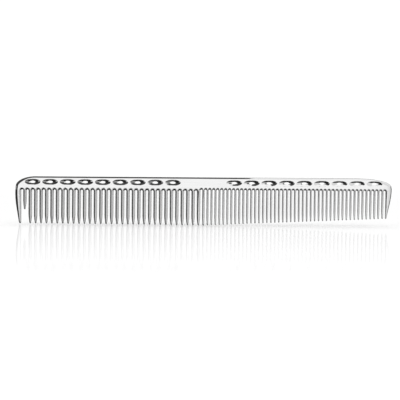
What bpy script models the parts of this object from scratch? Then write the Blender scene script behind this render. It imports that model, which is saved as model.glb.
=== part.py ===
"""Barber's cutting comb, milled and polished from one plate of aluminium.

Metres, +Z up. The comb stands on the tips of its teeth: +X runs along it from the coarse teeth
to the fine ones, Z goes up from the tips to the spine, and the plate's thickness lies along Y,
equal on both sides of Y = 0. The origin is under the middle of the comb, at the lowest tips.

The plate is divided where plain planes cross it: the spine lies above one level plane, and under
it the end guards and the runs of teeth meet side by side in the middle of a tooth gap.
"""

import math

import bmesh
import bpy
from mathutils import Matrix, Vector
from mathutils.geometry import interpolate_bezier

# --- Driving dimensions -------------------------------------------------------------------------

COMB_LENGTH = 0.215
COMB_HEIGHT = 0.0274  # from the lowest tips to the top of the spine
SPINE_THICKNESS = 0.0028
TIP_THICKNESS = 0.0013  # the plate thins evenly from under the spine to the tips
EDGE_ROUND = 0.0005  # rounding along the top of the spine and its corners

COARSE_PITCH = 0.0031
COARSE_GAP = 0.00095
COARSE_ROOT = 0.00215  # from the plane under the spine down to the top of a gap
COARSE_TIP_WIDTH = 0.0010
COARSE_TIP_RISE = 0.0006  # tips are this much higher at the coarse end than at the middle

FINE_PITCH = 0.002269
FINE_GAP = 0.00092
FINE_ROOT = 0.0016
FINE_TIP_WIDTH = 0.0008
FINE_TIP_RISE = 0.0046

MIDDLE_TOOTH_WIDTH = 0.00153  # the tooth where the two pitches meet, at X = 0
SHORT_TOOTH_TIP = 0.0085  # height of the short lead tooth's tip

TIP_TAPER = 0.0055  # a tooth narrows over this last stretch of its length
TAPER_WAIST = 0.0023  # height over the tip where the narrowing bends inwards
BODY_SHARE = 0.93  # how much of the root's extra width over the tip is left where it starts
WAIST_SHARE = 0.45  # and where it bends

DISH_LENGTH = 0.0090
DISH_WIDTH = 0.0034
DISH_DEPTH = 0.0008
DISH_LAND = 0.0010  # flat metal between two dishes
FIRST_HOLE = 0.0175  # from the middle of the comb to the first hole on each side
HOLE_LENGTH = 0.0030
HOLE_WIDTH = 0.0014
LAST_HOLE_MARGIN = 0.0095  # the least distance from the last hole's middle to the comb's end
RIM_OVER_DISHES = 0.00145
RIM_UNDER_DISHES = 0.00055  # down to the plane under the spine


class End:
    """The sizes of one end of the comb, where the spine rounds over into the end guard."""

    def __init__(self, side, guard_width, tip_width, round_length, round_fall, bend_height, inset,
                 shoulder_drop):
        self.side = side  # -1 coarse, +1 fine
        self.guard_width = guard_width  # the guard's least width under the spine
        self.tip_width = tip_width
        self.round_length = round_length  # how far along the top the rounding starts
        self.round_fall = round_fall  # how much the top has fallen where the tight bend begins
        self.bend_height = bend_height  # how far over the plane under the spine that bend reaches
        self.inset = inset  # how far in the outer edge is where it meets that plane
        self.shoulder_drop = shoulder_drop  # from that plane down to the comb's widest place


COARSE_END = End(side=-1, guard_width=0.0032, tip_width=0.0014, round_length=0.0110,
                 round_fall=0.0002, bend_height=0.0024, inset=0.00025, shoulder_drop=0.0045)
FINE_END = End(side=1, guard_width=0.0034, tip_width=0.0009, round_length=0.0190,
               round_fall=0.0004, bend_height=0.0034, inset=0.0001, shoulder_drop=0.0006)

COARSE_RUNS = 4  # runs of coarse teeth, each one solid
FINE_RUNS = 5

MATERIAL = "polished_aluminium"
ALUMINIUM = (0.78, 0.78, 0.79, 1.0)

# --- What follows from them ---------------------------------------------------------------------

HALF_LENGTH = COMB_LENGTH / 2
SPINE_HEIGHT = RIM_OVER_DISHES + DISH_WIDTH + RIM_UNDER_DISHES
SPINE_BOTTOM = COMB_HEIGHT - SPINE_HEIGHT
COARSE_GAP_TOP = SPINE_BOTTOM - COARSE_ROOT
FINE_GAP_TOP = SPINE_BOTTOM - FINE_ROOT
HOLE_HEIGHT = SPINE_BOTTOM + RIM_UNDER_DISHES + DISH_WIDTH / 2
HOLE_PITCH = DISH_LENGTH + DISH_LAND
HOLES_PER_SIDE = int((HALF_LENGTH - FIRST_HOLE - LAST_HOLE_MARGIN) / HOLE_PITCH) + 1


def gap_middles(pitch, gap, guard_width):
    """How far from the middle of the comb each gap on one side of it is: as many gaps as leave
    the guard its least width."""
    room = HALF_LENGTH - MIDDLE_TOOTH_WIDTH / 2 - gap - guard_width
    first = (MIDDLE_TOOTH_WIDTH + gap) / 2
    return [first + pitch * i for i in range(int(room / pitch) + 1)]


class Gap:
    """A slot between two teeth: its middle, its width and the top of its round root."""

    def __init__(self, x, width, top):
        self.x = x
        self.width = width
        self.top = top


COARSE_MIDDLES = gap_middles(COARSE_PITCH, COARSE_GAP, COARSE_END.guard_width)
FINE_MIDDLES = gap_middles(FINE_PITCH, FINE_GAP, FINE_END.guard_width)
GAPS = [Gap(-x, COARSE_GAP, COARSE_GAP_TOP) for x in reversed(COARSE_MIDDLES)]
GAPS += [Gap(x, FINE_GAP, FINE_GAP_TOP) for x in FINE_MIDDLES]
SHORT_TOOTH = 0  # tooth number i stands between GAPS[i] and GAPS[i + 1]
MIDDLE_TOOTH = len(COARSE_MIDDLES) - 1
LAST_TOOTH = len(GAPS) - 2
GAPS[MIDDLE_TOOTH].top = FINE_GAP_TOP  # the last coarse gap is cut as high as the fine ones


def tip_height(x):
    """Height of the line that the tips follow: straight, rising from the middle to both ends."""
    if x < 0:
        return COARSE_TIP_RISE * -x / HALF_LENGTH
    return FINE_TIP_RISE * x / HALF_LENGTH


def even(z):
    """Half the spine's thickness, the same at every height."""
    return SPINE_THICKNESS / 2


def tapering(z):
    """Half the thickness of teeth and guards: the spine's where they meet it, thinner to the tips."""
    return (TIP_THICKNESS + (SPINE_THICKNESS - TIP_THICKNESS) * z / SPINE_BOTTOM) / 2


def arc(centre, radii, start, end, steps):
    """Points on an elliptical arc, from one angle to another, both ends included."""
    points = []
    for i in range(steps + 1):
        angle = start + (end - start) * i / steps
        points.append((centre[0] + radii[0] * math.cos(angle), centre[1] + radii[1] * math.sin(angle)))
    return points


# --- Outlines, as (x, z) points -----------------------------------------------------------------


def curve_points(start, start_handle, end_handle, end, count):
    """Points along a Bezier curve, with its exact ends."""
    points = interpolate_bezier(Vector(start), Vector(start_handle), Vector(end_handle), Vector(end), count)
    return [start] + [(point.x, point.y) for point in points[1:-1]] + [end]


def crossing(end):
    """Where the comb's outer edge crosses the plane under the spine."""
    return (end.side * (HALF_LENGTH - end.inset), SPINE_BOTTOM)


def rounded_corner(end):
    """The top of the spine bending over into the end, from its straight stretch to the plane."""
    start = (end.side * (HALF_LENGTH - end.round_length), COMB_HEIGHT)
    bend = end.side * (HALF_LENGTH - 0.4 * end.round_length)
    start_handle = (bend, COMB_HEIGHT - end.round_fall)
    end_handle = (end.side * (HALF_LENGTH - 2 * end.inset), SPINE_BOTTOM + end.bend_height)
    return curve_points(start, start_handle, end_handle, crossing(end), 12)


def spine_outline():
    """The bar with a rounded corner at each end. It runs down past the plane under the spine, and
    is cut off there once its edges are rounded."""
    coarse = rounded_corner(COARSE_END)
    fine = rounded_corner(FINE_END)
    foot = SPINE_BOTTOM - 4 * EDGE_ROUND
    return [(coarse[-1][0], foot)] + coarse[::-1] + fine + [(fine[-1][0], foot)]


def gap_side(gap, side, steps=2):
    """Half of a gap's round root, from its top to where the tooth's straight flank starts."""
    radius = gap.width / 2
    springing = gap.top - radius
    quarter = arc((gap.x, springing), (side * radius, radius), math.pi / 2, 0, steps)
    quarter[0] = (gap.x, gap.top)
    return quarter


def tooth_flanks(left, right, tip_width, tip):
    """The outline of one tooth, down its left flank, round its tip and up its right flank."""
    x_left = left.x + left.width / 2
    x_right = right.x - right.width / 2
    middle = (x_left + x_right) / 2
    root_half = (x_right - x_left) / 2
    radius = tip_width / 2
    body_half = radius + BODY_SHARE * (root_half - radius)
    waist_half = radius + WAIST_SHARE * (root_half - radius)
    tip_arc = arc((middle, tip + radius), (radius, radius), math.pi, 2 * math.pi, 4)
    down = [(middle - body_half, tip + TIP_TAPER), (middle - waist_half, tip + TAPER_WAIST)]
    up = [(middle + waist_half, tip + TAPER_WAIST), (middle + body_half, tip + TIP_TAPER)]
    return down + tip_arc + up


def tooth_tip(number):
    """The width and the height of a tooth's tip."""
    middle = (GAPS[number].x + GAPS[number + 1].x) / 2
    if number == SHORT_TOOTH:
        return COARSE_TIP_WIDTH, SHORT_TOOTH_TIP
    width = COARSE_TIP_WIDTH if number <= MIDDLE_TOOTH else FINE_TIP_WIDTH
    return width, tip_height(middle)


def run_outline(first, last):
    """A strip of plate under the spine with the teeth first to last, from gap middle to gap
    middle. Neighbouring runs end on the same plane."""
    points = [(GAPS[first].x, SPINE_BOTTOM)]
    for number in range(first, last + 1):
        left, right = GAPS[number], GAPS[number + 1]
        points += gap_side(left, 1)
        points += tooth_flanks(left, right, *tooth_tip(number))
        points += gap_side(right, -1)[::-1][:-1]
    points.append((GAPS[last + 1].x, GAPS[last + 1].top))
    points.append((GAPS[last + 1].x, SPINE_BOTTOM))
    return points


def guard_outline(end):
    """The end guard: straight inside, and outside a long curve from the plane under the spine, by
    way of the comb's widest place, to a narrow round tip."""
    gap = GAPS[0] if end.side < 0 else GAPS[-1]
    inner = abs(gap.x) + gap.width / 2
    radius = end.tip_width / 2
    tip = tip_height(end.side * inner)
    widest = (end.side * HALF_LENGTH, SPINE_BOTTOM - end.shoulder_drop)
    middle_of_shoulder = (widest[0], SPINE_BOTTOM - end.shoulder_drop / 2)
    shoulder = curve_points(crossing(end), middle_of_shoulder, middle_of_shoulder, widest, 5)
    foot = (end.side * (inner + end.tip_width), tip + radius)
    length = widest[1] - foot[1]
    upper_handle = (widest[0], widest[1] - 0.35 * length)
    lower_handle = (foot[0] + 0.35 * (widest[0] - foot[0]), foot[1] + 0.33 * length)
    outer = curve_points(widest, upper_handle, lower_handle, foot, 10)
    tip_centre = (end.side * (inner + radius), tip + radius)
    tip_arc = arc(tip_centre, (end.side * radius, radius), 0, -math.pi, 4)
    inside = gap_side(gap, end.side)[::-1]
    return [(gap.x, SPINE_BOTTOM)] + shoulder[:-1] + outer[:-1] + tip_arc + inside


# --- Making solids ------------------------------------------------------------------------------


def new_collection(name):
    collection = bpy.data.collections.new(name)
    bpy.context.scene.collection.children.link(collection)
    return collection


def polished_aluminium():
    material = bpy.data.materials.new(MATERIAL)
    material.use_nodes = True
    shader = material.node_tree.nodes["Principled BSDF"]
    shader.inputs["Base Color"].default_value = ALUMINIUM
    shader.inputs["Metallic"].default_value = 1.0
    shader.inputs["Roughness"].default_value = 0.1


def flat_plate(name, outline):
    """A closed plate with the given outline, lying in the XY plane, as a mesh."""
    curve = bpy.data.curves.new(name + "_outline", "CURVE")
    curve.dimensions = "2D"
    curve.fill_mode = "BOTH"
    curve.extrude = 0.5
    spline = curve.splines.new("POLY")
    spline.points.add(len(outline) - 1)
    for point, (x, z) in zip(spline.points, outline):
        point.co = (x, z, 0, 1)
    spline.use_cyclic_u = True
    flat = bpy.data.objects.new(name + "_outline", curve)
    bpy.context.scene.collection.objects.link(flat)
    bpy.context.view_layer.update()
    evaluated = flat.evaluated_get(bpy.context.evaluated_depsgraph_get())
    mesh = bpy.data.meshes.new_from_object(evaluated)
    mesh.name = name
    bpy.data.objects.remove(flat)
    return mesh


def stand_up(bm, half_thickness):
    """Turns a flat plate upright and gives it its thickness at each height."""
    for vertex in bm.verts:
        x, z, face = vertex.co
        depth = half_thickness(z)
        vertex.co = (x, -depth if face > 0 else depth, z)
    bmesh.ops.recalc_face_normals(bm, faces=bm.faces)


def round_edges(bm):
    """Rounds the edges along both faces."""
    along_faces = [edge for edge in bm.edges if edge.verts[0].co.y * edge.verts[1].co.y > 0]
    bmesh.ops.bevel(bm, geom=along_faces, offset=EDGE_ROUND, offset_type="OFFSET", segments=2,
                    profile=0.5, affect="EDGES", clamp_overlap=True)


def cut_at_plane(bm):
    """Cuts off what lies under the plane below the spine, and closes the cut."""
    bmesh.ops.bisect_plane(bm, geom=bm.verts[:] + bm.edges[:] + bm.faces[:], dist=1e-7,
                           plane_co=(0, 0, SPINE_BOTTOM), plane_no=(0, 0, -1), clear_outer=True)
    rim = [edge for edge in bm.edges if edge.is_boundary]
    for vertex in {vertex for edge in rim for vertex in edge.verts}:
        vertex.co.z = SPINE_BOTTOM
    bmesh.ops.holes_fill(bm, edges=rim, sides=0)
    bmesh.ops.recalc_face_normals(bm, faces=bm.faces)


def add_piece(name, outline, half_thickness, collection, parent, is_spine=False):
    mesh = flat_plate(name, outline)
    bm = bmesh.new()
    bm.from_mesh(mesh)
    bmesh.ops.remove_doubles(bm, verts=bm.verts, dist=1e-7)
    bmesh.ops.dissolve_limit(bm, angle_limit=0.001, verts=bm.verts, edges=bm.edges)
    stand_up(bm, half_thickness)
    if is_spine:
        round_edges(bm)
        cut_at_plane(bm)
    bm.to_mesh(mesh)
    bm.free()
    mesh.materials.append(bpy.data.materials[MATERIAL])
    piece = bpy.data.objects.new(name, mesh)
    collection.objects.link(piece)
    piece.parent = parent
    return piece


def dish_cutter(name, x, side, collection):
    """An ellipsoid that sinks one lens-shaped dish into one face of the spine."""
    half_width = DISH_WIDTH / 2
    radius = (half_width ** 2 + DISH_DEPTH ** 2) / (2 * DISH_DEPTH)
    stretch = DISH_LENGTH / DISH_WIDTH
    bm = bmesh.new()
    bmesh.ops.create_uvsphere(bm, u_segments=14, v_segments=10, radius=radius)
    bmesh.ops.transform(bm, matrix=Matrix.Diagonal((stretch, 1, 1, 1)), verts=bm.verts)
    mesh = bpy.data.meshes.new(name)
    bm.to_mesh(mesh)
    bm.free()
    cutter = bpy.data.objects.new(name, mesh)
    cutter.location = (x, side * (SPINE_THICKNESS / 2 - DISH_DEPTH + radius), HOLE_HEIGHT)
    cutter.rotation_euler = (math.pi / 2, 0, 0)
    cutter.hide_render = True
    cutter.display_type = "WIRE"
    collection.objects.link(cutter)
    return cutter


def hole_cutter(name, x, collection):
    """An oval bar that goes right through the spine."""
    bm = bmesh.new()
    bmesh.ops.create_cone(bm, cap_ends=True, segments=12, radius1=0.5, radius2=0.5,
                          depth=2 * SPINE_THICKNESS)
    bmesh.ops.transform(bm, matrix=Matrix.Diagonal((HOLE_LENGTH, HOLE_WIDTH, 1, 1)), verts=bm.verts)
    mesh = bpy.data.meshes.new(name)
    bm.to_mesh(mesh)
    bm.free()
    cutter = bpy.data.objects.new(name, mesh)
    cutter.location = (x, 0, HOLE_HEIGHT)
    cutter.rotation_euler = (math.pi / 2, 0, 0)
    cutter.hide_render = True
    cutter.display_type = "WIRE"
    collection.objects.link(cutter)
    return cutter


def cut(piece, cutter):
    boolean = piece.modifiers.new(cutter.name, "BOOLEAN")
    boolean.operation = "DIFFERENCE"
    boolean.solver = "EXACT"
    boolean.object = cutter


def build_spine(collection, cutters, parent):
    spine = add_piece("spine", spine_outline(), even, collection, parent, is_spine=True)
    for side, end in ((-1, "coarse"), (1, "fine")):
        for i in range(HOLES_PER_SIDE):
            x = side * (FIRST_HOLE + HOLE_PITCH * i)
            cut(spine, dish_cutter(f"front_dish_{end}_{i + 1}", x, -1, cutters))
            cut(spine, dish_cutter(f"back_dish_{end}_{i + 1}", x, 1, cutters))
            cut(spine, hole_cutter(f"hole_{end}_{i + 1}", x, cutters))


def runs(first, last, pieces):
    """Divides the teeth from first to last into runs as equal as they can be."""
    count = last - first + 1
    starts = [first + count * i // pieces for i in range(pieces + 1)]
    return [(starts[i], starts[i + 1] - 1) for i in range(pieces)]


def build_teeth(collection, parent):
    named_runs = [("short_lead_tooth", SHORT_TOOTH, SHORT_TOOTH)]
    for i, (first, last) in enumerate(runs(SHORT_TOOTH + 1, MIDDLE_TOOTH - 1, COARSE_RUNS)):
        named_runs.append((f"coarse_teeth_{i + 1}", first, last))
    named_runs.append(("middle_tooth", MIDDLE_TOOTH, MIDDLE_TOOTH))
    for i, (first, last) in enumerate(runs(MIDDLE_TOOTH + 1, LAST_TOOTH, FINE_RUNS)):
        named_runs.append((f"fine_teeth_{i + 1}", first, last))
    for name, first, last in named_runs:
        add_piece(name, run_outline(first, last), tapering, collection, parent)


def main():
    for old in list(bpy.data.objects):
        bpy.data.objects.remove(old)
    polished_aluminium()
    collection = new_collection("cutting_comb")
    cutters = new_collection("cutters")
    comb = bpy.data.objects.new("comb", None)
    collection.objects.link(comb)
    build_spine(collection, cutters, comb)
    add_piece("coarse_end_guard", guard_outline(COARSE_END), tapering, collection, comb)
    add_piece("fine_end_guard", guard_outline(FINE_END), tapering, collection, comb)
    build_teeth(collection, comb)


main()
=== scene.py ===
import math

import bmesh
import bpy
from mathutils import Matrix, Vector
from mathutils.geometry import interpolate_bezier


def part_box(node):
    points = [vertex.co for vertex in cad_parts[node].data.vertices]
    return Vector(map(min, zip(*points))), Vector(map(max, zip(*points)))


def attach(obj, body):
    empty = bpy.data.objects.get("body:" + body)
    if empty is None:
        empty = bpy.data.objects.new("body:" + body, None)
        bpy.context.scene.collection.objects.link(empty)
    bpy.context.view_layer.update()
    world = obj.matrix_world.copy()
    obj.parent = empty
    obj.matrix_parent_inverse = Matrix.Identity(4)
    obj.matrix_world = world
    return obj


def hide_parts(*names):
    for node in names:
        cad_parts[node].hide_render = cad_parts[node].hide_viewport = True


# A barber's cutting comb: one plate of polished aluminium, standing on the tips of its teeth.
# X runs along it from the coarse teeth to the fine ones, and Z goes up from the tips to the spine.

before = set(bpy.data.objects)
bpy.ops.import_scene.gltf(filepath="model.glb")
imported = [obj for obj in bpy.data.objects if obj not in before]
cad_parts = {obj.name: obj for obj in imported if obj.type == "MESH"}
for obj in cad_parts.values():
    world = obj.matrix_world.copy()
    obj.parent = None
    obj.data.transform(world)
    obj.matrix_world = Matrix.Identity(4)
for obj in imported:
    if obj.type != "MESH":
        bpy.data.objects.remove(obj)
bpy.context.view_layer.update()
print("frame loaded:", len(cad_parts), "nodes")

mm = 0.001

# Places that come from the frame
spineLow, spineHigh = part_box("spine")
plateHalf = spineHigh.y  # half the plate's thickness
spineBottom = spineLow.z  # the level plane under which guards and teeth begin
combTop = spineHigh.z
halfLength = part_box("fine_end_guard")[1].x
shortStart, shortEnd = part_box("short_lead_tooth")[0].x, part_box("short_lead_tooth")[1].x
middleStart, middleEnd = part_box("middle_tooth")[0].x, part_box("middle_tooth")[1].x
fineStart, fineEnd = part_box("fine_teeth_1")[0].x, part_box("fine_teeth_5")[1].x


# ---- Small tools


def fromHex(code):
    # sRGB hex to a linear colour
    channels = [int(code[i:i + 2], 16) / 255 for i in (1, 3, 5)]
    linear = [c / 12.92 if c <= 0.04045 else ((c + 0.055) / 1.055) ** 2.4 for c in channels]
    return (*linear, 1)


def addNode(tree, kind, settings=None, inputs=None):
    # one node with its settings; an input is a value, or the socket that feeds it
    node = tree.nodes.new(kind)
    for name, value in (settings or {}).items():
        setattr(node, name, value)
    for name, value in (inputs or {}).items():
        if isinstance(value, bpy.types.NodeSocket):
            tree.links.new(value, node.inputs[name])
        else:
            node.inputs[name].default_value = value
    return node


def addObject(name, data):
    made = bpy.data.objects.new(name, data)
    bpy.context.scene.collection.objects.link(made)
    return made


def toMesh(bm, name):
    # welded, with its faces pointing out
    bmesh.ops.remove_doubles(bm, verts=bm.verts, dist=0.001 * mm)
    bmesh.ops.recalc_face_normals(bm, faces=bm.faces)
    mesh = bpy.data.meshes.new(name)
    bm.to_mesh(mesh)
    bm.free()
    return mesh


def between(start, end, share):
    return start + (end - start) * share


def ease(low, high, value):
    share = min(1, max(0, (value - low) / (high - low)))
    return share * share * (3 - 2 * share)


# ---- The form of the plate

plate = {
    "tipHalf": 0.65 * mm,  # half the thickness at the tips
    "leanStart": 21.0 * mm,  # below this height the faces lean in
    "leanBend": 2.0 * mm,  # the height over which the lean sets in
    "topRound": 0.95 * mm,  # how far the rounding reaches in from the top edge
    "guardRound": 1.5 * mm,  # from the outer edge of the guards
    "rootRound": 1.1 * mm,  # and around the top of a slot
    "roundPower": 2.0,  # 2 is an ellipse, more is squarer
    "roundSteps": 9,
    "pastRound": 0.08 * mm,  # a narrow flat strip where the rounding ends
}


def bulge(distance, width, power=plate["roundPower"]):
    # share of the full thickness at a distance in from a rounded edge
    inside = 1 - min(1, max(0, distance / width))
    return (1 - inside ** power) ** (1 / power)


def halfAt(z):
    # half the thickness: even in the spine, then leaning in to the tips
    below = max(0, plate["leanStart"] - z)
    bend = plate["leanBend"]
    lean = (plateHalf - plate["tipHalf"]) / (plate["leanStart"] - bend / 2)
    return plateHalf - lean * (below ** 2 / (2 * bend) if below < bend else below - bend / 2)


def addFaces(bm, rows):
    # quads between rows of (x, y, z), once on the front of the plate and once on the back
    sides = []
    for side in (-1, 1):
        verts = [[bm.verts.new((x, side * y, z)) for x, y, z in row] for row in rows]
        for upper, lower in zip(verts, verts[1:]):
            for i in range(len(upper) - 1):
                bm.faces.new((upper[i], upper[i + 1], lower[i + 1], lower[i]))
        sides.append(verts)
    return sides


def addCap(bm, front, back):
    # a flat end across the thickness, between a line on the front and the same line on the back
    for i in range(len(front) - 1):
        bm.faces.new((front[i], front[i + 1], back[i + 1], back[i]))


# ---- Material


def buffedAluminium():
    # Aluminium, milled and then buffed to a mirror. It gives sharp reflections that waver a little
    # where the buffing wheel pressed, and faint lines along the comb where the grit ran.
    finish = {
        "metal": "#F5F5F5",
        "rubbed": "#E4E3E4",
        "mirror": 0.06,  # roughness where it is best buffed
        "haze": 0.20,  # and in the finest scratches
        "line": 0.25 * mm,  # spacing of the polishing lines, several times wider than real ones
        "lineLength": 14 * mm,
        "wave": 6 * mm,  # size of the buffing waves
        "smear": 18 * mm,  # size of the patches where the lines are dulled
    }
    material = bpy.data.materials.new("buffedAluminium")
    material.use_nodes = True
    tree = material.node_tree
    tree.nodes.clear()
    place = addNode(tree, "ShaderNodeTexCoord").outputs["Object"]
    along = addNode(tree, "ShaderNodeMapping", inputs={
        "Vector": place,
        "Scale": (finish["line"] / finish["lineLength"], 1, 1),
    }).outputs["Vector"]
    lines = addNode(tree, "ShaderNodeTexNoise", inputs={
        "Vector": along, "Scale": 1 / finish["line"], "Detail": 3, "Roughness": 0.6,
    }).outputs["Fac"]
    waves = addNode(tree, "ShaderNodeTexNoise", inputs={
        "Vector": place, "Scale": 1 / finish["wave"], "Detail": 1, "Roughness": 0.4,
    }).outputs["Fac"]
    smears = addNode(tree, "ShaderNodeTexNoise", inputs={
        "Vector": place, "Scale": 1 / finish["smear"], "Detail": 4, "Roughness": 0.55,
    }).outputs["Fac"]
    scratched = addNode(tree, "ShaderNodeMapRange", inputs={
        "Value": lines, "From Min": 0.45, "From Max": 0.75,
    }).outputs["Result"]
    dulled = addNode(tree, "ShaderNodeMath", {"operation": "MULTIPLY"}, {
        0: scratched, 1: smears,
    }).outputs[0]
    roughness = addNode(tree, "ShaderNodeMapRange", inputs={
        "Value": dulled, "To Min": finish["mirror"], "To Max": finish["haze"],
    }).outputs["Result"]
    tone = addNode(tree, "ShaderNodeMix", {"data_type": "RGBA"}, {
        0: dulled, 6: fromHex(finish["metal"]), 7: fromHex(finish["rubbed"]),
    }).outputs[2]
    wavy = addNode(tree, "ShaderNodeBump", inputs={
        "Strength": 0.3, "Distance": 0.02 * mm, "Height": waves,
    }).outputs["Normal"]
    grained = addNode(tree, "ShaderNodeBump", inputs={
        "Strength": 0.1, "Distance": 0.004 * mm, "Height": lines, "Normal": wavy,
    }).outputs["Normal"]
    shader = addNode(tree, "ShaderNodeBsdfPrincipled", inputs={
        "Base Color": tone, "Metallic": 1.0, "Roughness": roughness, "Normal": grained,
    })
    addNode(tree, "ShaderNodeOutputMaterial", inputs={"Surface": shader.outputs["BSDF"]})
    return material


aluminium = buffedAluminium()


def finishPiece(name, mesh, nodes, crease=30):
    # crisp where faces meet at more than that angle and smooth elsewhere, on the comb's one body
    mesh.name = name
    mesh.materials.clear()
    mesh.materials.append(aluminium)
    mesh.shade_smooth()
    mesh.set_sharp_from_angle(angle=math.radians(crease))
    piece = addObject(name, mesh)
    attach(piece, "root")
    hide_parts(*nodes)
    print(name, "has", len(mesh.polygons), "faces")


# ---- Geometry Nodes shared steps


def newTree(name, inputs):
    # a node group with named inputs; gives the group, its input node and each socket's identifier
    tree = bpy.data.node_groups.new(name, "GeometryNodeTree")
    tree.interface.new_socket("Geometry", in_out="INPUT", socket_type="NodeSocketGeometry")
    identifiers = {}
    for label, kind in inputs.items():
        socket = tree.interface.new_socket(label, in_out="INPUT", socket_type=kind)
        identifiers[label] = socket.identifier
    tree.interface.new_socket("Geometry", in_out="OUTPUT", socket_type="NodeSocketGeometry")
    return tree, tree.nodes.new("NodeGroupInput").outputs, identifiers


def endTree(tree, geometry, material):
    whole = addNode(tree, "GeometryNodeRealizeInstances", inputs={"Geometry": geometry})
    painted = addNode(tree, "GeometryNodeSetMaterial", inputs={
        "Geometry": whole.outputs["Geometry"], "Material": material,
    })
    addNode(tree, "NodeGroupOutput", inputs={"Geometry": painted.outputs["Geometry"]})


def runTree(mesh, tree, identifiers, values):
    # runs the tree on a mesh and gives back what it makes as a plain mesh
    holder = addObject(mesh.name + "Holder", mesh)
    modifier = holder.modifiers.new(tree.name, "NODES")
    modifier.node_group = tree
    for label, value in values.items():
        modifier[identifiers[label]] = value
    bpy.context.view_layer.update()
    evaluated = holder.evaluated_get(bpy.context.evaluated_depsgraph_get())
    result = bpy.data.meshes.new_from_object(evaluated)
    bpy.data.objects.remove(holder)
    return result


# ---- Spine

spine = {
    "coarseRound": 11.0 * mm,  # how far along the top the corner's rounding starts
    "coarseFall": 0.2 * mm,  # how far the top has fallen where the tight bend begins
    "coarseBend": 2.4 * mm,  # how far over the lower plane that bend reaches
    "coarseInset": 0.25 * mm,  # how far in the outer edge is where it meets that plane
    "fineRound": 19.0 * mm,
    "fineFall": 0.4 * mm,
    "fineBend": 3.4 * mm,
    "fineInset": 0.1 * mm,
    "cornerSteps": 32,
    "bendPlace": 0.4,  # where the bend begins, as a share of the corner's rounding
    "middleSteps": 8,  # along the straight top between the two corners
    "footLevel": 0.25,  # over this first share of a corner the rounding turns to square on
    "narrowFrom": 0.4,  # and between these shares it goes from the guards' width to the top's
    "narrowTo": 0.95,
    "crease": 15,  # degrees; the shallow ends of a dish still have a crisp rim
}
dish = {
    "length": 9.0 * mm,
    "width": 3.4 * mm,
    "depth": 0.8 * mm,
    "pitch": 10.0 * mm,
    "first": 17.5 * mm,  # from the middle of the comb
    "perSide": 9,
    "rim": 0.55 * mm,  # metal between a dish and the plane under the spine
    "holeLength": 3.0 * mm,
    "holeWidth": 1.4 * mm,
    "holeSides": 48,
    "around": 72,  # faces of the ellipsoid that cuts a dish
    "alongside": 48,
}


def cornerCurve(side, end):
    # from the straight top down to the plane under the spine
    start = Vector((side * (halfLength - spine[end + "Round"]), combTop))
    bend = Vector((side * (halfLength - spine["bendPlace"] * spine[end + "Round"]),
                   combTop - spine[end + "Fall"]))
    rise = Vector((side * (halfLength - 2 * spine[end + "Inset"]),
                   spineBottom + spine[end + "Bend"]))
    foot = Vector((side * (halfLength - spine[end + "Inset"]), spineBottom))
    curve = interpolate_bezier(start.to_3d(), bend.to_3d(), rise.to_3d(), foot.to_3d(),
                               spine["cornerSteps"])
    return [point.to_2d() for point in curve]


def roundDistances(width):
    # distances in from an edge between which the rounding turns by equal angles, and one past it
    steps = plate["roundSteps"]
    distances = []
    for i in range(steps + 1):
        tilt = math.pi / 2 * (1 - i / steps)
        turn = math.atan2(plateHalf * math.cos(tilt), width * math.sin(tilt))
        distances.append(width * (1 - math.cos(turn)))
    return distances + [width + plate["pastRound"]]


def spineBlank():
    coarse, fine = cornerCurve(-1, "coarse")[::-1], cornerCurve(1, "fine")
    steps = spine["middleSteps"]
    outline = coarse + [coarse[-1].lerp(fine[0], i / steps) for i in range(1, steps)] + fine
    rows = []
    for i, point in enumerate(outline):
        run = outline[min(i + 1, len(outline) - 1)] - outline[max(i - 1, 0)]
        fromFoot = min(i, len(outline) - 1 - i) / (spine["cornerSteps"] - 1)
        level = Vector((-math.copysign(1, point.x), 0))
        square = ease(0, spine["footLevel"], fromFoot)
        inward = Vector((run.y, -run.x)).normalized().lerp(level, 1 - square)
        narrowed = ease(spine["narrowFrom"], spine["narrowTo"], fromFoot)
        width = between(plate["guardRound"], plate["topRound"], narrowed)
        row = []
        for distance in roundDistances(width):
            place = point + inward.normalized() * distance
            row.append((place.x, plateHalf * bulge(distance, width), place.y))
        rows.append(row)
    bm = bmesh.new()
    front, back = addFaces(bm, rows)
    for verts in (front, back):
        bm.faces.new([row[-1] for row in verts])
    addCap(bm, front[0] + front[-1][::-1], back[0] + back[-1][::-1])
    return toMesh(bm, "spineBlank")


def dishCutter():
    # an ellipsoid that sinks a lens-shaped dish into the front face
    halfWidth = dish["width"] / 2
    radius = (halfWidth ** 2 + dish["depth"] ** 2) / (2 * dish["depth"])
    bm = bmesh.new()
    bmesh.ops.create_uvsphere(bm, u_segments=dish["around"], v_segments=dish["alongside"],
                              radius=radius)
    stretch = dish["length"] / dish["width"]
    for vert in bm.verts:
        x, y, z = vert.co
        vert.co = (x * stretch, z - plateHalf + dish["depth"] - radius, y)
    return toMesh(bm, "dishCutter")


def holeCutter():
    bm = bmesh.new()
    bmesh.ops.create_cone(bm, cap_ends=True, segments=dish["holeSides"], radius1=0.5, radius2=0.5,
                          depth=4 * plateHalf)
    for vert in bm.verts:
        x, y, z = vert.co
        vert.co = (x * dish["holeLength"], z, y * dish["holeWidth"])
    return toMesh(bm, "holeCutter")


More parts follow.
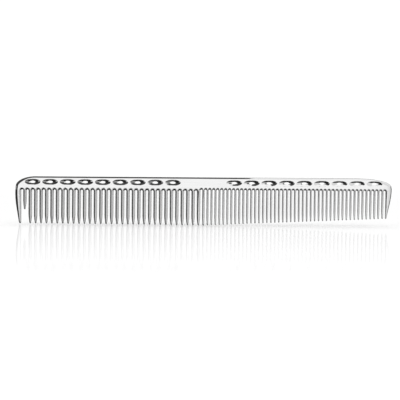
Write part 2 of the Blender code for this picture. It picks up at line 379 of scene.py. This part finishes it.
def dishTree():
    # a row of dishes and holes to each side of the middle, cut through the spine
    tree, given, identifiers = newTree("dishRows", {
        "Dish": "NodeSocketObject",
        "Hole": "NodeSocketObject",
        "Per side": "NodeSocketInt",
        "Pitch": "NodeSocketFloat",
        "First": "NodeSocketFloat",
        "Height": "NodeSocketFloat",
        "Material": "NodeSocketMaterial",
    })
    lines = []
    for sign in (-1, 1):
        turned = []
        for label in ("First", "Pitch"):
            turned.append(addNode(tree, "ShaderNodeMath", {"operation": "MULTIPLY"}, {
                0: given[label], 1: sign,
            }).outputs[0])
        start = addNode(tree, "ShaderNodeCombineXYZ", inputs={"X": turned[0], "Z": given["Height"]})
        step = addNode(tree, "ShaderNodeCombineXYZ", inputs={"X": turned[1]})
        lines.append(addNode(tree, "GeometryNodeMeshLine", inputs={
            "Count": given["Per side"],
            "Start Location": start.outputs["Vector"],
            "Offset": step.outputs["Vector"],
        }).outputs["Mesh"])
    places = addNode(tree, "GeometryNodeJoinGeometry")
    for line in lines:
        tree.links.new(line, places.inputs[0])
    shapes = {}
    for label in ("Dish", "Hole"):
        shapes[label] = addNode(tree, "GeometryNodeObjectInfo", inputs={"Object": given[label]})
    cut = given["Geometry"]
    for label, turn in (("Dish", 0), ("Dish", math.pi), ("Hole", 0)):
        row = addNode(tree, "GeometryNodeInstanceOnPoints", inputs={
            "Points": places.outputs["Geometry"],
            "Instance": shapes[label].outputs["Geometry"],
            "Rotation": (0, 0, turn),
        })
        solid = addNode(tree, "GeometryNodeRealizeInstances", inputs={
            "Geometry": row.outputs["Instances"],
        })
        cut = addNode(tree, "GeometryNodeMeshBoolean", {
            "operation": "DIFFERENCE", "solver": "EXACT",
        }, {"Mesh 1": cut, "Mesh 2": solid.outputs["Geometry"]}).outputs["Mesh"]
    endTree(tree, cut, given["Material"])
    return tree, identifiers


def makeSpine():
    tree, identifiers = dishTree()
    cutters = {
        "Dish": addObject("dishCutter", dishCutter()),
        "Hole": addObject("holeCutter", holeCutter()),
    }
    mesh = runTree(spineBlank(), tree, identifiers, {
        **cutters,
        "Per side": dish["perSide"],
        "Pitch": dish["pitch"],
        "First": dish["first"],
        "Height": spineBottom + dish["rim"] + dish["width"] / 2,
        "Material": aluminium,
    })
    for cutter in cutters.values():
        bpy.data.objects.remove(cutter)
    finishPiece("spine", mesh, ["spine"], spine["crease"])


makeSpine()

# ---- Teeth

coarse = {
    "slot": 0.95 * mm,  # width of the gap between two teeth
    "root": 2.15 * mm,  # from the plane under the spine down to the top of a slot
    "reach": 0.95 * mm,  # how far the rounding over a slot reaches up
    "crownPower": 2.2,  # how square the crowned face of a tooth is
    "tipHalf": 0.5 * mm,
    "rise": 0.6 * mm,  # the tips at the end of the comb are this much higher than at the middle
}
fine = {
    "slot": 0.92 * mm,
    "root": 1.6 * mm,
    "reach": 1.05 * mm,
    "crownPower": 2.6,
    "tipHalf": 0.4 * mm,
    "rise": 4.6 * mm,
}
tooth = {
    "taper": 5.5 * mm,  # a tooth narrows over this last stretch
    "bodyShare": 0.93,  # width left at the start of that stretch, between the root's and the tip's
    "crownDepth": 3.0 * mm,  # under the root the face turns from flat to crowned over this height
    "crownSteps": 7,
    "archSteps": 8,
    "bodySteps": 6,
    "taperSteps": 8,
    "tipSteps": 5,
    "tipThin": 0.7,  # how bluntly a tip thins, 1 is a wedge
    "flankTuck": 0.01 * mm,  # the flank's curve starts off nearly upright
    "flankHold": 0.76,  # and keeps so down to this share of the taper
    "flankLow": 0.29,  # its lower control point, as a share of the taper's height
    "flankNarrow": 0.38,  # and of the width between the tip's and the root's
    "shortTip": 8.5 * mm,  # height of the short lead tooth's tip
}
coarsePitch = shortEnd - shortStart
finePitch = (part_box("fine_teeth_1")[1].x - fineStart) / 9


def toothHeights(root, tip, rootHalf, tipHalf):
    # (height, half the width, share of the thickness) from under the root to the tip
    bodyHalf = between(tipHalf, rootHalf, tooth["bodyShare"])
    body = tip + tooth["taper"]
    heights = []
    for i in range(1, tooth["bodySteps"] + 1):
        share = i / tooth["bodySteps"]
        heights.append((between(root, body, share), between(rootHalf, bodyHalf, share), 1))
    flank = interpolate_bezier(
        Vector((bodyHalf, 0, body)),
        Vector((bodyHalf - tooth["flankTuck"], 0, between(tip, body, tooth["flankHold"]))),
        Vector((between(tipHalf, rootHalf, tooth["flankNarrow"]), 0,
                between(tip, body, tooth["flankLow"]))),
        Vector((tipHalf, 0, tip + tipHalf)),
        tooth["taperSteps"] + 1,
    )
    heights += [(point.z, point.x, 1) for point in flank[1:]]
    for i in range(1, tooth["tipSteps"] + 1):
        turn = math.pi / 2 * i / tooth["tipSteps"]
        narrow = math.cos(turn) if i < tooth["tipSteps"] else 0
        height = tip + tipHalf * (1 - math.sin(turn))
        heights.append((height, tipHalf * narrow, narrow ** tooth["tipThin"]))
    return heights


def addToothHalf(bm, middle, edge, slot, slotTop, reach, crownPower, tip, tipHalf):
    # half a tooth with half an arch, from the tooth's middle to the middle of the slot beside it
    towards = math.copysign(1, middle - edge)
    slotHalf = slot / 2
    root = slotTop - slotHalf
    rootHalf = abs(edge - middle) - slotHalf
    rootRound = min(plate["rootRound"], rootHalf)
    steps = tooth["crownSteps"]
    shares = [1 - math.cos(math.pi / 2 * i / steps) for i in range(steps + 1)]
    rows = []
    for j in range(tooth["archSteps"] + 1):
        turn = math.pi / 2 * (1 - j / tooth["archSteps"])
        row = []
        for share in shares:
            distance = rootHalf * share
            x = edge + towards * (slotHalf + distance) * math.cos(turn)
            z = root + (slotHalf + reach * share) * math.sin(turn)
            row.append((x, halfAt(z) * bulge(distance, rootRound), z))
        rows.append(row)
    arch = rows[:]
    for z, half, thickness in toothHeights(root, tip, rootHalf, tipHalf):
        crown = ease(0, tooth["crownDepth"], root - z)
        width = max(between(rootRound, half, crown), 1e-9)
        power = between(plate["roundPower"], crownPower, crown)
        row = []
        for share in shares:
            distance = half * share
            y = thickness * halfAt(z) * (bulge(distance, width, power) if half else 0)
            row.append((middle - towards * (half - distance), y, z))
        rows.append(row)
    addFaces(bm, rows)
    crest = [row[-1] for row in arch]
    top = [(x, plateHalf, spineBottom) for x, y, z in crest]
    half = [(x, halfAt((z + spineBottom) / 2), (z + spineBottom) / 2) for x, y, z in crest]
    front, back = addFaces(bm, [top, half, crest])
    addCap(bm, front[0], back[0])


def toothCell(left, right, leftSlot, rightSlot, tip, tipHalf):
    # one tooth from slot middle to slot middle, open at both sides; for a slot see slotOf
    bm = bmesh.new()
    middle = (left + leftSlot[0] / 2 + right - rightSlot[0] / 2) / 2
    addToothHalf(bm, middle, left, *leftSlot, tip, tipHalf)
    addToothHalf(bm, middle, right, *rightSlot, tip, tipHalf)
    return toMesh(bm, "toothCell")


def closeSides(mesh):
    # the flat ends of a tooth or a row, in the middle of a slot
    bm = bmesh.new()
    bm.from_mesh(mesh)
    bmesh.ops.remove_doubles(bm, verts=bm.verts, dist=0.001 * mm)
    bmesh.ops.holes_fill(bm, edges=[edge for edge in bm.edges if edge.is_boundary], sides=0)
    bmesh.ops.recalc_face_normals(bm, faces=bm.faces)
    bm.to_mesh(mesh)
    bm.free()
    return mesh


def toothTree():
    # repeats one tooth along X; each is shortened from its tip upwards to follow the rising line
    tree, given, identifiers = newTree("toothRow", {
        "Count": "NodeSocketInt",
        "Pitch": "NodeSocketFloat",
        "Rise": "NodeSocketFloat",  # from each tip to the next
        "Root": "NodeSocketFloat",  # height where a tooth starts to be shortened
        "Body": "NodeSocketFloat",  # height under which its whole end moves
        "Weld": "NodeSocketFloat",
        "Material": "NodeSocketMaterial",
    })
    step = addNode(tree, "ShaderNodeCombineXYZ", inputs={"X": given["Pitch"]})
    line = addNode(tree, "GeometryNodeMeshLine", inputs={
        "Count": given["Count"], "Offset": step.outputs["Vector"],
    })
    row = addNode(tree, "GeometryNodeInstanceOnPoints", inputs={
        "Points": line.outputs["Mesh"], "Instance": given["Geometry"],
    })
    index = addNode(tree, "GeometryNodeInputIndex")
    numbered = addNode(tree, "GeometryNodeStoreNamedAttribute", {
        "data_type": "INT", "domain": "INSTANCE",
    }, {
        "Geometry": row.outputs["Instances"],
        "Name": "toothNumber",
        "Value": index.outputs["Index"],
    })
    whole = addNode(tree, "GeometryNodeRealizeInstances", inputs={
        "Geometry": numbered.outputs["Geometry"],
    })
    number = addNode(tree, "GeometryNodeInputNamedAttribute", {"data_type": "INT"}, {
        "Name": "toothNumber",
    })
    position = addNode(tree, "GeometryNodeInputPosition")
    height = addNode(tree, "ShaderNodeSeparateXYZ", inputs={"Vector": position.outputs["Position"]})
    share = addNode(tree, "ShaderNodeMapRange", inputs={
        "Value": height.outputs["Z"], "From Min": given["Root"], "From Max": given["Body"],
    })
    rise = addNode(tree, "ShaderNodeMath", {"operation": "MULTIPLY"}, {
        0: number.outputs["Attribute"], 1: given["Rise"],
    })
    lift = addNode(tree, "ShaderNodeMath", {"operation": "MULTIPLY"}, {
        0: rise.outputs[0], 1: share.outputs["Result"],
    })
    offset = addNode(tree, "ShaderNodeCombineXYZ", inputs={"Z": lift.outputs[0]})
    moved = addNode(tree, "GeometryNodeSetPosition", inputs={
        "Geometry": whole.outputs["Geometry"], "Offset": offset.outputs["Vector"],
    })
    welded = addNode(tree, "GeometryNodeMergeByDistance", inputs={
        "Geometry": moved.outputs["Geometry"], "Distance": given["Weld"],
    })
    endTree(tree, welded.outputs["Geometry"], given["Material"])
    return tree, identifiers


def tipHeight(x):
    rise = coarse["rise"] if x < 0 else fine["rise"]
    return rise * abs(x) / halfLength


def slotOf(row):
    # width of the slot, height of its top, and the rounding over it and beside it
    return row["slot"], spineBottom - row["root"], row["reach"], row["crownPower"]


def toothRow(tree, identifiers, first, pitch, count, row):
    # count teeth from the one whose left edge is at first
    tip = tipHeight(first + pitch / 2)
    cell = toothCell(first, first + pitch, slotOf(row), slotOf(row), tip, row["tipHalf"])
    return runTree(cell, tree, identifiers, {
        "Count": count,
        "Pitch": pitch,
        "Rise": tipHeight(first + 1.5 * pitch) - tip,
        "Root": spineBottom - row["root"] - tooth["crownDepth"],
        "Body": tip + tooth["taper"],
        "Weld": 0.002 * mm,
        "Material": aluminium,
    })


def joined(meshes):
    bm = bmesh.new()
    for mesh in meshes:
        bm.from_mesh(mesh)
    return toMesh(bm, "joined")


def makeTeeth():
    tree, identifiers = toothTree()
    coarseSlot, fineSlot = slotOf(coarse), slotOf(fine)
    # the coarse slot beside the middle tooth is cut higher
    nextSlot = (coarse["slot"], *fineSlot[1:])
    short = toothCell(shortStart, shortEnd, coarseSlot, coarseSlot, tooth["shortTip"],
                      coarse["tipHalf"])
    finishPiece("shortLeadTooth", closeSides(short), ["short_lead_tooth"])
    count = round((middleStart - shortEnd) / coarsePitch) - 1
    row = toothRow(tree, identifiers, shortEnd, coarsePitch, count, coarse)
    lastStart = middleStart - coarsePitch
    last = toothCell(lastStart, middleStart, coarseSlot, nextSlot,
                     tipHeight(lastStart + coarsePitch / 2), coarse["tipHalf"])
    finishPiece("coarseTeeth", closeSides(joined([row, last])),
                [f"coarse_teeth_{i}" for i in range(1, 5)])
    middle = toothCell(middleStart, middleEnd, nextSlot, fineSlot, 0, coarse["tipHalf"])
    finishPiece("middleTooth", closeSides(middle), ["middle_tooth"])
    count = round((fineEnd - fineStart) / finePitch)
    row = toothRow(tree, identifiers, fineStart, finePitch, count, fine)
    finishPiece("fineTeeth", closeSides(row), [f"fine_teeth_{i}" for i in range(1, 6)])


makeTeeth()

# ---- Guards

guards = {
    "coarseTip": 1.4 * mm,  # width of the tip
    "coarseDrop": 4.5 * mm,  # from the plane under the spine down to the comb's widest place
    "fineTip": 0.9 * mm,
    "fineDrop": 0.6 * mm,
    "innerRound": 0.85 * mm,  # rounding along the straight inner edge
    "acrossSteps": 34,
    "topSteps": 4,
    "archSteps": 6,
    "bodySteps": 40,
    "tipSteps": 6,
    "shoulderSteps": 12,
    "edgeSteps": 60,
    "edgeHold": 0.35,  # the outer edge stays nearly upright over this share of its length
    "edgeLean": 0.35,  # its lower control point, as a share of the way out
    "edgeLow": 0.33,  # and of the way up
    "slotRoundMost": 0.4,  # the roundings take up at most these shares of the width
    "outerRoundMost": 0.46,
}


def guardEdge(side, end, inner, tip):
    # the outer edge as (x, z) from the plane under the spine to the start of the round tip
    tipWidth = guards[end + "Tip"]
    drop = guards[end + "Drop"]
    top = Vector((side * (halfLength - spine[end + "Inset"]), 0, spineBottom))
    widest = Vector((side * halfLength, 0, spineBottom - drop))
    shoulder = Vector((side * halfLength, 0, spineBottom - drop / 2))
    foot = Vector((inner + side * tipWidth, 0, tip + tipWidth / 2))
    length = widest.z - foot.z
    upper = Vector((widest.x, 0, widest.z - guards["edgeHold"] * length))
    lower = Vector((between(foot.x, widest.x, guards["edgeLean"]), 0,
                    foot.z + guards["edgeLow"] * length))
    points = interpolate_bezier(top, shoulder, shoulder, widest, guards["shoulderSteps"])[:-1]
    points += interpolate_bezier(widest, upper, lower, foot, guards["edgeSteps"])
    return [(point.x, point.z) for point in points]


def edgeAt(edge, z):
    # x of the outer edge at a height
    for (x0, z0), (x1, z1) in zip(edge, edge[1:]):
        if z >= z1:
            return between(x0, x1, max(0, (z0 - z) / (z0 - z1)))
    return edge[-1][0]


def makeGuard(side, end, slotMiddle, row):
    slotHalf = row["slot"] / 2
    root = spineBottom - row["root"] - slotHalf
    inner = slotMiddle + side * slotHalf
    tip = tipHeight(inner)
    edge = guardEdge(side, end, inner, tip)
    steps = guards["acrossSteps"]
    shares = [(1 - math.cos(math.pi * i / steps)) / 2 for i in range(steps + 1)]

    def depth(x, z):
        # half the thickness at a place, rounded towards both edges
        outerX = edgeAt(edge, z)
        if z > root:
            fromSlot = math.hypot(x - slotMiddle, z - root) - slotHalf
        else:
            fromSlot = abs(x - inner)
        width = abs(outerX - inner)
        crown = ease(0, 2 * tooth["crownDepth"], root - z)
        slotRound = min(between(plate["rootRound"], guards["innerRound"], crown),
                        guards["slotRoundMost"] * width)
        outerRound = min(plate["guardRound"], guards["outerRoundMost"] * width)
        return halfAt(z) * bulge(fromSlot, slotRound) * bulge(abs(outerX - x), outerRound)

    # rows that fan out from the slot's round top, first to the plane under the spine
    topX = edge[0][0]
    distances = roundDistances(plate["guardRound"])[::-1]
    ends = [(between(slotMiddle, topX - side * distances[0], i / guards["topSteps"]), spineBottom)
            for i in range(guards["topSteps"])]
    ends += [(topX - side * distance, spineBottom) for distance in distances]
    topCount = len(ends)
    for i in range(1, guards["archSteps"] + 1):
        z = between(spineBottom, root, i / guards["archSteps"])
        ends.append((edgeAt(edge, z), z))
    rows = []
    for j, (endX, endZ) in enumerate(ends):
        turn = math.pi / 2 * (1 - j / (len(ends) - 1))
        startX = slotMiddle + side * slotHalf * math.cos(turn)
        startZ = root + slotHalf * math.sin(turn)
        line = []
        for share in shares:
            x, z = between(startX, endX, share), between(startZ, endZ, share)
            line.append((x, depth(x, z), z))
        rows.append(line)
    tipHalf = guards[end + "Tip"] / 2
    for i in range(1, guards["bodySteps"] + 1):
        z = between(root, tip + tipHalf, i / guards["bodySteps"])
        outerX = edgeAt(edge, z)
        across = [between(inner, outerX, share) for share in shares]
        rows.append([(x, depth(x, z), z) for x in across])
    middle = inner + side * tipHalf
    bottom = rows[-1]
    for i in range(1, guards["tipSteps"] + 1):
        turn = math.pi / 2 * i / guards["tipSteps"]
        narrow = math.cos(turn) if i < guards["tipSteps"] else 0
        thin = narrow ** tooth["tipThin"]
        z = tip + tipHalf * (1 - math.sin(turn))
        rows.append([(between(middle, x, narrow), y * thin, z) for x, y, _ in bottom])
    bm = bmesh.new()
    front, back = addFaces(bm, rows)
    addCap(bm, [line[-1] for line in front[:topCount]], [line[-1] for line in back[:topCount]])
    addCap(bm, front[0], back[0])
    finishPiece(end + "EndGuard", toMesh(bm, end + "EndGuard"), [end + "_end_guard"])


makeGuard(-1, "coarse", shortStart, coarse)
makeGuard(1, "fine", fineEnd, fine)

# ---- Camera, floor and light

view = {
    "wide": 228.2 * mm,  # what the picture takes in, at the front of the comb
    "lookX": -1.95 * mm,
    "lookZ": 14.5 * mm,
    "lens": 150,
    "sensor": 36,
    "above": 2.0,  # degrees
    "tilt": 0.4,
}


def addCamera():
    data = bpy.data.cameras.new("camera")
    data.lens = view["lens"]
    data.sensor_width = view["sensor"]
    camera = addObject("camera", data)
    distance = view["wide"] * view["lens"] / view["sensor"]
    above = math.radians(view["above"])
    target = Vector((view["lookX"], -plateHalf, view["lookZ"]))
    back = Vector((0, -math.cos(above), math.sin(above)))
    camera.location = target + back * distance
    aim = (-back).to_track_quat("-Z", "Y").to_matrix()
    roll = Matrix.Rotation(math.radians(view["tilt"]), 3, "Z")
    camera.rotation_euler = (aim @ roll).to_euler()
    data.clip_start = 0.01
    data.clip_end = 20
    bpy.context.scene.camera = camera


floorLook = {
    "size": 8.0,
    "white": "#FEFEFE",
    "roughness": 0.06,
    "ior": 1.012,  # low, so it mirrors only at a glance along the sheet
}


def addFloor():
    # White acrylic sheet with a slight gloss. The metal doesn't mirror it, and the world says
    # what the metal sees below.
    bm = bmesh.new()
    bmesh.ops.create_grid(bm, x_segments=2, y_segments=2, size=floorLook["size"] / 2)
    floor = addObject("floor", toMesh(bm, "floor"))
    material = bpy.data.materials.new("whiteAcrylicSheet")
    material.use_nodes = True
    tree = material.node_tree
    tree.nodes.clear()
    sheet = addNode(tree, "ShaderNodeBsdfPrincipled", inputs={
        "Base Color": fromHex(floorLook["white"]),
        "Roughness": floorLook["roughness"],
        "IOR": floorLook["ior"],
    })
    addNode(tree, "ShaderNodeOutputMaterial", inputs={"Surface": sheet.outputs["BSDF"]})
    floor.data.materials.append(material)
    floor.visible_glossy = False


surround = {
    "white": 1.10,
    "downDark": 0.02,
    "upDark": 0.06,
    "leftDark": 0.03,
    "rightGrey": 0.16,
    "tableFar": 0.30,  # the table in front of the comb, at its left end
    "tableNear": 0.75,  # and at its middle
    # Edges of the bands, as parts of a direction of length 1: the band starts at the first number
    # and is full at the second. X goes to the fine end, Y to the back and Z up.
    "notBehind": (0.95, 0.85),
    "tableLow": (-0.06, -0.10),
    "tableRight": (0.05, 0.01),
    "tableLeft": (-0.106, -0.094),
    "tableFade": (-0.10, -0.03),
    "right": (0.16, 0.24),
    "left": (-0.16, -0.26),
    "up": (0.30, 0.50),
    "down": (-0.13, -0.22),
    # White windows that keep the flat faces, and then the floor, from going dark in three views
    "faceWindows": ((-0.63, -0.63, -0.45), (0.68, 0.68, -0.28)),
    "window": (0.982, 0.992),  # cosine of the angle from a window's middle
    "endLow": (-0.01, 0.02),
    "endHigh": (0.12, 0.08),
    "endLeft": (-0.90, -0.95),
    "endWide": (0.17, 0.12),
}


def addWorld():
    # White to the eye and to the floor. What the metal mirrors is a white room with dark screens.
    world = bpy.data.worlds.new("studio")
    bpy.context.scene.world = world
    world.use_nodes = True
    tree = world.node_tree
    tree.nodes.clear()
    direction = addNode(tree, "ShaderNodeTexCoord").outputs["Generated"]
    axis = addNode(tree, "ShaderNodeSeparateXYZ", inputs={"Vector": direction}).outputs

    def band(value, start, end, low=0.0, high=1.0):
        return addNode(tree, "ShaderNodeMapRange", {"interpolation_type": "SMOOTHSTEP"}, {
            "Value": value, "From Min": start, "From Max": end, "To Min": low, "To Max": high,
        }).outputs["Result"]

    def times(a, b):
        return addNode(tree, "ShaderNodeMath", {"operation": "MULTIPLY"}, {0: a, 1: b}).outputs[0]

    def dim(light, share, level):
        # fades the light to a level where share is 1
        return addNode(tree, "ShaderNodeMix", {"data_type": "FLOAT"}, {
            0: share, 2: light, 3: level,
        }).outputs[0]

    def towards(where):
        # 1 in the directions within a few degrees of one
        near = addNode(tree, "ShaderNodeVectorMath", {"operation": "DOT_PRODUCT"}, {
            0: direction, 1: Vector(where).normalized(),
        }).outputs["Value"]
        return band(near, *surround["window"])

    notBehind = band(axis["Y"], *surround["notBehind"])
    table = times(times(band(axis["Z"], *surround["tableLow"]),
                        band(axis["X"], *surround["tableRight"])),
                  times(band(axis["X"], *surround["tableLeft"]), notBehind))
    tableLight = band(axis["X"], *surround["tableFade"], surround["tableFar"],
                      surround["tableNear"])
    light = dim(1.0, table, tableLight)
    light = dim(light, times(band(axis["X"], *surround["right"]), notBehind),
                surround["rightGrey"])
    light = dim(light, times(band(axis["X"], *surround["left"]), notBehind),
                surround["leftDark"])
    light = dim(light, band(axis["Z"], *surround["up"]), surround["upDark"])
    light = dim(light, band(axis["Z"], *surround["down"]), surround["downDark"])
    for where in surround["faceWindows"]:
        light = dim(light, towards(where), 1.0)
    sideways = addNode(tree, "ShaderNodeMath", {"operation": "ABSOLUTE"}, {
        0: axis["Y"],
    }).outputs[0]
    endOn = times(times(band(axis["Z"], *surround["endLow"]),
                        band(axis["Z"], *surround["endHigh"])),
                  times(band(axis["X"], *surround["endLeft"]),
                        band(sideways, *surround["endWide"])))
    light = dim(light, endOn, 1.0)  # for what the floor mirrors, seen along the comb
    ray = addNode(tree, "ShaderNodeLightPath").outputs
    strength = addNode(tree, "ShaderNodeMix", {"data_type": "FLOAT"}, {
        0: ray["Is Glossy Ray"], 2: surround["white"], 3: light,
    }).outputs[0]
    background = addNode(tree, "ShaderNodeBackground", inputs={
        "Color": (1, 1, 1, 1), "Strength": strength,
    })
    addNode(tree, "ShaderNodeOutputWorld", inputs={"Surface": background.outputs["Background"]})


cards = {
    # name: (middle, size along X, Y and Z with one of them 0, brightness)
    "whiteScreen": ((130 * mm, -115 * mm, 60 * mm), (0, 210 * mm, 180 * mm), 0.75),
    "paleTable": ((265 * mm, -400 * mm, -160 * mm), (500 * mm, 0, 200 * mm), 0.5),
    "whiteCeiling": ((170 * mm, -40 * mm, 120 * mm), (280 * mm, 200 * mm, 0), 1.0),
}


def addCards():
    # glowing paper screens round the comb, seen only in mirror reflections
    for name, (middle, size, brightness) in cards.items():
        bm = bmesh.new()
        bmesh.ops.create_cube(bm, size=1)
        for vert in bm.verts:
            vert.co = [m + v * max(s, 0.5 * mm) for m, v, s in zip(middle, vert.co, size)]
        card = addObject(name, toMesh(bm, name))
        material = bpy.data.materials.new(name + "Paper")
        material.use_nodes = True
        tree = material.node_tree
        tree.nodes.clear()
        glow = addNode(tree, "ShaderNodeEmission", inputs={
            "Color": (1, 1, 1, 1), "Strength": brightness,
        })
        addNode(tree, "ShaderNodeOutputMaterial", inputs={"Surface": glow.outputs["Emission"]})
        card.data.materials.append(material)
        for seen in ("camera", "diffuse", "transmission", "shadow", "volume_scatter"):
            setattr(card, "visible_" + seen, False)


addCamera()
addFloor()
addWorld()
addCards()
bpy.context.scene.view_settings.view_transform = "Standard"
print("camera, floor and light ready")
